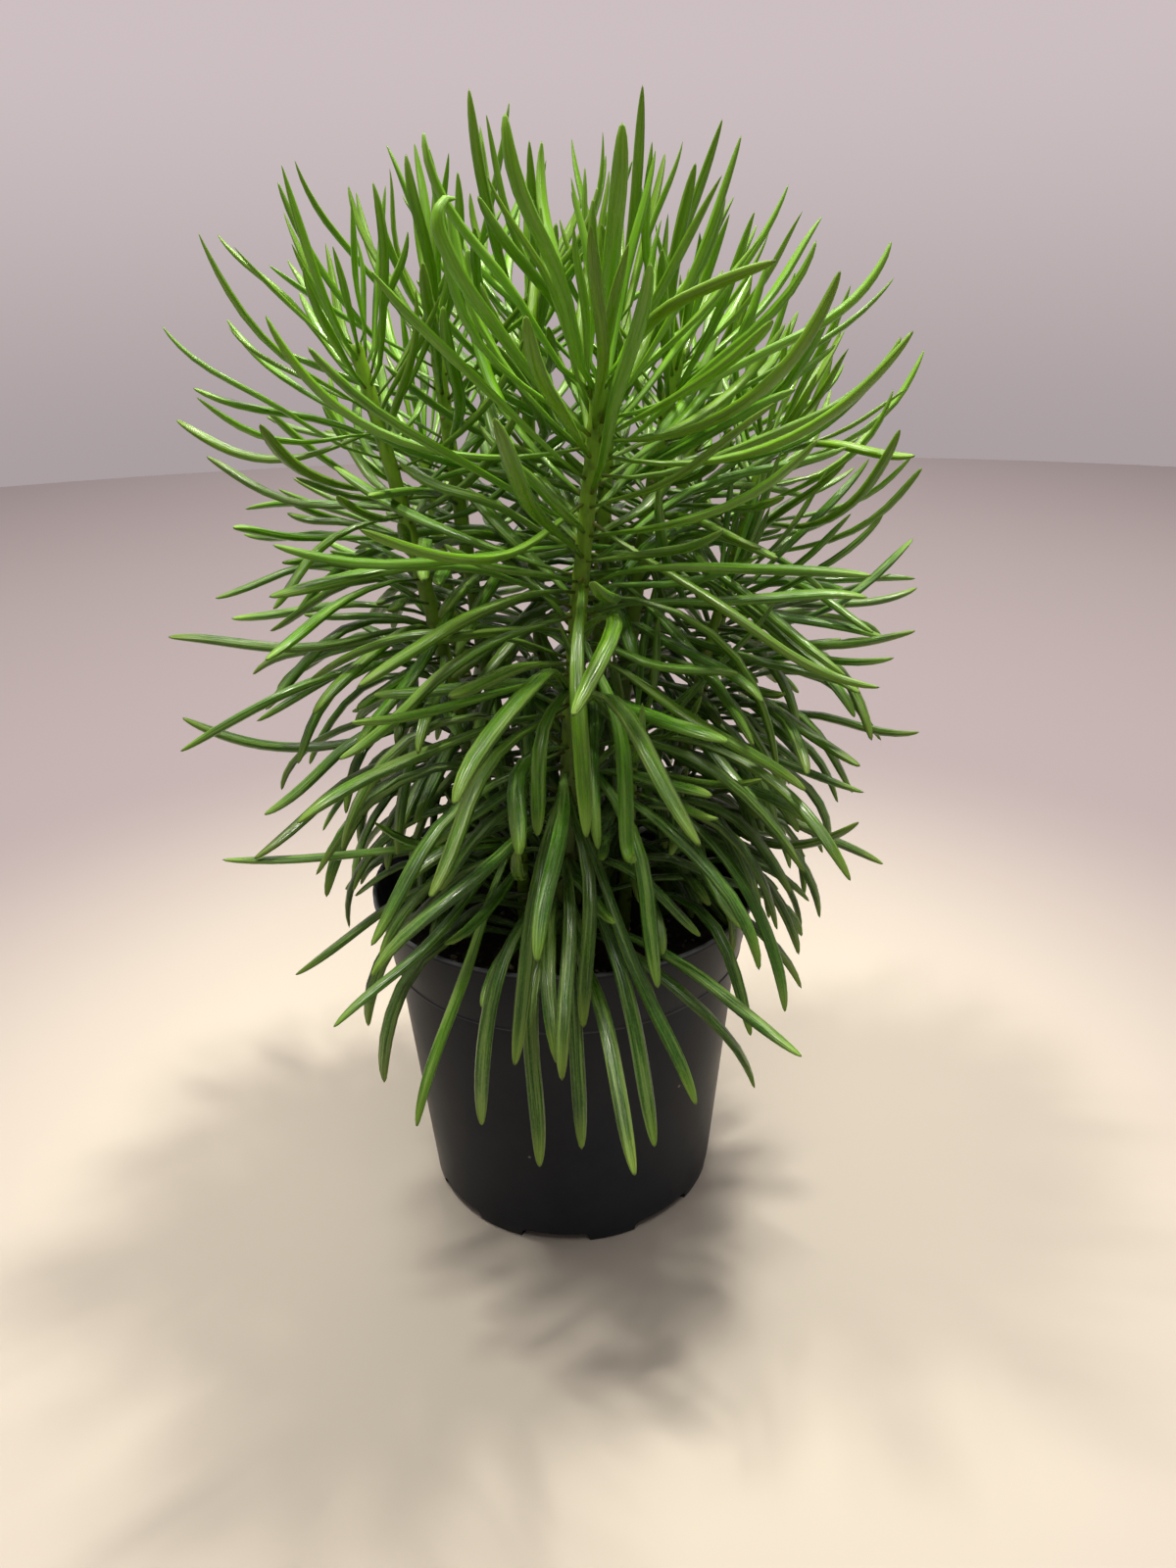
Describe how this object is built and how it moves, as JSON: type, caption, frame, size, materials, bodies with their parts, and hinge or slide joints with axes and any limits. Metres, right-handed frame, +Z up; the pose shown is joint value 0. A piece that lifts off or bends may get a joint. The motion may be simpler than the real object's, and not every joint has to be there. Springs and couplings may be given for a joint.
{
  "type": "potted senecio",
  "caption": "Upright shoots with long narrow arching succulent leaves, standing in soil in a round tapered black nursery pot.",
  "frame": {"origin": "on the pot's underside, at the middle of its floor, where it meets the table", "axes": "+Z up along the pot's axis, -Y towards the plant's front with its hanging leaves, +X to the right seen from the front"},
  "size_m": [0.2769, 0.2939, 0.4048],
  "materials": {
    "black_plastic": "satin black moulded plastic",
    "potting_soil": "dark damp peat with pale grains",
    "green_stem": "smooth olive green stem with pale leaf scars",
    "green_leaf": "smooth waxy green leaf with pale lengthwise veins"
  },
  "bodies": {
    "root": {"leaf_back_01": "green_leaf", "leaf_back_02": "green_leaf", "leaf_front_01": "green_leaf", "leaf_front_02": "green_leaf", "leaf_front_03": "green_leaf", "leaf_front_04": "green_leaf", "leaf_front_05": "green_leaf", "leaf_front_06": "green_leaf", "leaf_front_07": "green_leaf", "leaf_front_08": "green_leaf", "leaf_front_09": "green_leaf", "leaf_front_10": "green_leaf", "leaf_front_11": "green_leaf", "leaf_front_12": "green_leaf", "leaf_front_13": "green_leaf", "leaf_front_14": "green_leaf", "leaf_front_15": "green_leaf", "leaf_front_16": "green_leaf", "leaf_front_17": "green_leaf", "leaf_front_18": "green_leaf", "leaf_front_19": "green_leaf", "leaf_front_20": "green_leaf", "leaf_front_21": "green_leaf", "leaf_front_22": "green_leaf", "leaf_left_01": "green_leaf", "leaf_left_02": "green_leaf", "leaf_left_03": "green_leaf", "leaf_left_04": "green_leaf", "leaf_left_05": "green_leaf", "leaf_left_back_01": "green_leaf", "leaf_left_back_02": "green_leaf", "leaf_left_back_03": "green_leaf", "leaf_low_left_01": "green_leaf", "leaf_low_left_02": "green_leaf", "leaf_low_left_03": "green_leaf", "leaf_low_right_01": "green_leaf", "leaf_low_right_02": "green_leaf", "leaf_middle_01": "green_leaf", "leaf_right_back_01": "green_leaf", "leaf_right_back_02": "green_leaf", "leaf_right_back_03": "green_leaf", "leaf_right_outer_01": "green_leaf", "leaf_right_outer_02": "green_leaf", "leaf_right_outer_03": "green_leaf", "leaf_side_right_01": "green_leaf", "leaf_side_right_02": "green_leaf", "pot": "black_plastic", "shoot_back": "green_stem", "shoot_front": "green_stem", "shoot_left": "green_stem", "shoot_left_back": "green_stem", "shoot_left_inner": "green_stem", "shoot_low_left": "green_stem", "shoot_low_right": "green_stem", "shoot_middle": "green_stem", "shoot_right": "green_stem", "shoot_right_back": "green_stem", "shoot_right_outer": "green_stem", "shoot_side_right": "green_stem", "soil": "potting_soil"}
  },
  "joints": []
}
